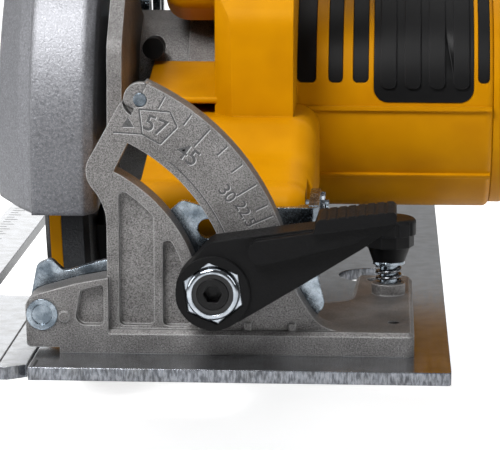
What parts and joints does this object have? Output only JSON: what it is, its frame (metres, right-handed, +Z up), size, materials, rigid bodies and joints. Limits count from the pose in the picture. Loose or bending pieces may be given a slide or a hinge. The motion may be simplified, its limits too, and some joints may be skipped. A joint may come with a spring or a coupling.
{
  "type": "cordless circular saw",
  "caption": "Hand-held circular saw with tilting shoe, engraved bevel quadrant, lock lever, depth arc, sprung lower guard, geared motor and slide-on battery.",
  "frame": {"origin": "middle of the shoe's outline, on the sole", "axes": "+Y from the front of the saw to the back, +X towards the motor side, +Z up from the sole"},
  "size_m": [0.2017, 0.3259, 0.243],
  "materials": {
    "shoe_aluminium": "satin",
    "cast_alloy": "sand-cast, matt",
    "zinc_steel": "zinc plated",
    "bright_steel": "polished",
    "spring_steel": "drawn wire",
    "blade_steel": "ground",
    "carbide": "ground",
    "guard_paint": "semi-gloss",
    "lower_guard_paint": "semi-gloss",
    "lever_alloy": "matt",
    "yellow_plastic": "moulded, fine grain",
    "black_plastic": "moulded",
    "black_rubber": "soft",
    "black_steel": "black oxide",
    "nylon": "moulded",
    "copper_laminate": "wound",
    "cell_wrap": "wrapped",
    "red_plastic": "moulded"
  },
  "bodies": {
    "shoe": {"shoe_plate": "shoe_aluminium", "bevel_quadrant": "cast_alloy", "shoe_rivets": "zinc_steel", "hinge_pins": "zinc_steel", "stop_rivet": "zinc_steel", "rear_bracket": "cast_alloy", "clamp_spring": "spring_steel"},
    "stop_cam": {"bevel_stop": "cast_alloy"},
    "guide_clamp_washer": {"clamp_washer": "zinc_steel"},
    "guide_clamp_knob": {"clamp_knob": "black_plastic", "clamp_screw": "zinc_steel"},
    "tilt_frame": {"tilt_bracket": "zinc_steel", "depth_strap": "zinc_steel", "depth_pivot_pin": "zinc_steel", "pivot_pin_clip": "bright_steel", "bevel_lock_bolt": "black_steel", "slot_washer": "zinc_steel"},
    "bevel_lock": {"bevel_lever": "lever_alloy", "lock_nut": "bright_steel", "lock_nut_insert": "nylon"},
    "saw_body": {"upper_guard": "guard_paint", "dust_port": "black_plastic", "guard_ring": "spring_steel", "guard_spring": "spring_steel", "depth_bolt": "zinc_steel", "ball_bearings": "bright_steel", "stator": "copper_laminate", "gear_case": "cast_alloy", "gear_case_cover": "cast_alloy", "motor_housing": "yellow_plastic", "vent_inserts": "black_plastic", "end_cap": "yellow_plastic", "screws": "zinc_steel", "front_grip": "black_rubber", "handle_left": "yellow_plastic", "handle_right": "yellow_plastic", "grip_overmould": "black_rubber", "switch_module": "nylon", "battery_foot": "black_plastic"},
    "swing_guard": {"lower_guard": "lower_guard_paint", "guard_lever": "black_plastic"},
    "depth_clamp": {"depth_lever": "black_plastic"},
    "blade_group": {"blade": "blade_steel", "blade_tips": "carbide", "blade_flanges": "zinc_steel", "arbor_bolt": "zinc_steel", "spindle": "bright_steel", "drive_gear": "bright_steel"},
    "armature": {"pinion": "bright_steel", "motor_shaft": "bright_steel", "rotor": "copper_laminate", "cooling_fan": "nylon"},
    "lock_button": {"spindle_lock": "black_plastic"},
    "trigger_body": {"trigger": "black_plastic"},
    "lock_off": {"lock_off_button": "black_plastic"},
    "battery": {"battery_base": "black_plastic", "battery_cover": "black_plastic", "battery_cells": "cell_wrap"},
    "battery_key": {"battery_latch": "red_plastic"},
    "stored_key": {"hex_key": "zinc_steel"}
  },
  "joints": [
    {"name": "bevel_tilt", "type": "hinge", "parent": "shoe", "child": "tilt_frame", "pos_m": [-0.0387, -0.001, 0.0162], "axis": [0, -1, 0], "range_deg": [0, 46.5]},
    {"name": "bevel_stop_turn", "type": "hinge", "parent": "shoe", "child": "stop_cam", "pos_m": [-0.008, -0.129, 0.0832], "axis": [0, 1, 0], "range_deg": [0, 90]},
    {"name": "guide_clamp_lift", "type": "slide", "parent": "shoe", "child": "guide_clamp_washer", "axis": [0, 0, 1], "range_m": [-0.002, 0.002], "deforming": ["clamp_spring"]},
    {"name": "guide_clamp_turn", "type": "hinge", "parent": "guide_clamp_washer", "child": "guide_clamp_knob", "pos_m": [0.0688, -0.073, 0.025], "axis": [0, 0, 1], "range_deg": [-720, 720]},
    {"name": "bevel_lever_turn", "type": "hinge", "parent": "tilt_frame", "child": "bevel_lock", "pos_m": [0.01541, -0.139, 0.02603], "axis": [0, -1, 0], "range_deg": [0, 50]},
    {"name": "depth_swing", "type": "hinge", "parent": "tilt_frame", "child": "saw_body", "pos_m": [0.013, -0.091, 0.042], "axis": [1, 0, 0], "range_deg": [-8.5, 18.5]},
    {"name": "lower_guard_swing", "type": "hinge", "parent": "saw_body", "child": "swing_guard", "pos_m": [-0.04, 0.042, 0.05], "axis": [1, 0, 0], "range_deg": [0, 105], "stiffness_Nm_per_rad": 0.25, "springref_deg": -57.3},
    {"name": "depth_clamp_turn", "type": "hinge", "parent": "saw_body", "child": "depth_clamp", "pos_m": [-0.021, 0.13676, 0.07401], "axis": [1, 0, 0], "range_deg": [0, 40]},
    {"name": "blade_spin", "type": "hinge", "parent": "saw_body", "child": "blade_group", "pos_m": [-0.04, 0.042, 0.05], "axis": [1, 0, 0], "continuous": true},
    {"name": "motor_spin", "type": "hinge", "parent": "saw_body", "child": "armature", "pos_m": [0.051, 0.02313, 0.0664], "axis": [1, 0, 0], "continuous": true},
    {"name": "spindle_lock_push", "type": "slide", "parent": "saw_body", "child": "lock_button", "axis": [0, 1, 0], "range_m": [0, 0.004], "stiffness_N_per_m": 600, "springref_m": -0.003},
    {"name": "trigger_pull", "type": "hinge", "parent": "saw_body", "child": "trigger_body", "pos_m": [0.006, 0.079, 0.17], "axis": [-1, 0, 0], "range_deg": [0, 12], "stiffness_Nm_per_rad": 1, "springref_deg": -17.19},
    {"name": "lock_off_push", "type": "slide", "parent": "saw_body", "child": "lock_off", "axis": [1, 0, 0], "range_m": [0, 0.003], "stiffness_N_per_m": 400, "springref_m": -0.003},
    {"name": "battery_slide", "type": "slide", "parent": "saw_body", "child": "battery", "axis": [0, 1, 0], "range_m": [0, 0.095]},
    {"name": "battery_latch_push", "type": "slide", "parent": "battery", "child": "battery_key", "axis": [0, -1, 0], "range_m": [0, 0.003], "stiffness_N_per_m": 500, "springref_m": -0.003},
    {"name": "hex_key_slide", "type": "slide", "parent": "saw_body", "child": "stored_key", "axis": [0, 1, 0], "range_m": [0, 0.09]}
  ],
  "couplings": [
    {"joint": "guide_clamp_lift", "follows": "guide_clamp_turn", "m_per_rad": 0.00015915},
    {"joint": "motor_spin", "follows": "blade_spin", "ratio": -4.5556}
  ]
}
